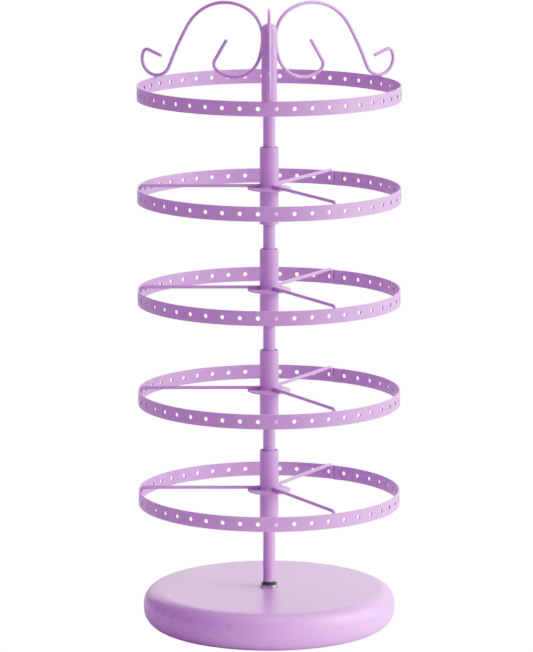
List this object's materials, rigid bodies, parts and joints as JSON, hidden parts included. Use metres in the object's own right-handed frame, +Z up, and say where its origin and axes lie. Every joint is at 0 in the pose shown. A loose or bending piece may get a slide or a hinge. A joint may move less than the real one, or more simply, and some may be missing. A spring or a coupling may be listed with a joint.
{
  "type": "rotating earring holder",
  "caption": "Free-standing earring stand: tiers of punched strip hoops on a pole that turns on a weighted round base, with wire scrolls at the top.",
  "frame": {"origin": "centre of the pad's lower face, on the pole's axis, at the surface that the stand rests on", "axes": "+Z up along the pole; -Y towards the front scroll, the side that the picture is taken from; +X to the right"},
  "size_m": [0.15, 0.1598, 0.3597],
  "materials": {
    "hoop_paint": "satin lilac enamel on rolled strip",
    "wire_paint": "satin lilac enamel on drawn wire",
    "tube_paint": "satin lilac enamel on tube",
    "base_paint": "satin lilac enamel on spun sheet",
    "bright_steel": "turned, zinc plated",
    "raw_iron": "as cast",
    "dark_nylon": "moulded, matt",
    "pad_rubber": "matt foam rubber"
  },
  "bodies": {
    "base": {"base_cover": "base_paint", "ballast": "raw_iron", "floor_plate": "base_paint", "floor_posts": "bright_steel", "floor_screws": "bright_steel", "anti_slip_pad": "pad_rubber", "spindle": "bright_steel", "spindle_washer": "bright_steel", "spindle_nut": "bright_steel", "thrust_washer": "dark_nylon"},
    "rack": {"hoop_1": "hoop_paint", "hoop_2": "hoop_paint", "hoop_3": "hoop_paint", "hoop_4": "hoop_paint", "hoop_5": "hoop_paint", "scroll_left": "wire_paint", "scroll_right": "wire_paint", "scroll_front": "wire_paint", "spoke_left_2": "wire_paint", "spoke_front_2": "wire_paint", "spoke_back_2": "wire_paint", "spoke_left_3": "wire_paint", "spoke_front_3": "wire_paint", "spoke_back_3": "wire_paint", "spoke_left_4": "wire_paint", "spoke_front_4": "wire_paint", "spoke_back_4": "wire_paint", "spoke_left_5": "wire_paint", "spoke_front_5": "wire_paint", "spoke_back_5": "wire_paint", "top_tube": "tube_paint", "top_cap": "tube_paint", "pole_tube_1": "tube_paint", "pole_tube_2": "tube_paint", "pole_tube_3": "tube_paint", "pole_tube_4": "tube_paint", "pole_tube_5": "tube_paint", "sleeve_2": "tube_paint", "sleeve_3": "tube_paint", "sleeve_4": "tube_paint", "sleeve_5": "tube_paint", "hub_plate_2": "tube_paint", "hub_plate_3": "tube_paint", "hub_plate_4": "tube_paint", "hub_plate_5": "tube_paint", "lower_bush": "dark_nylon", "upper_bush": "dark_nylon", "socket_collar_2": "dark_nylon", "neck_collar_2": "dark_nylon", "socket_collar_3": "dark_nylon", "neck_collar_3": "dark_nylon", "socket_collar_4": "dark_nylon", "neck_collar_4": "dark_nylon", "socket_collar_5": "dark_nylon", "neck_collar_5": "dark_nylon"}
  },
  "joints": [
    {"name": "rack_spin", "type": "hinge", "parent": "base", "child": "rack", "pos_m": [0, 0, 0.0222], "axis": [0, 0, 1], "continuous": true}
  ]
}
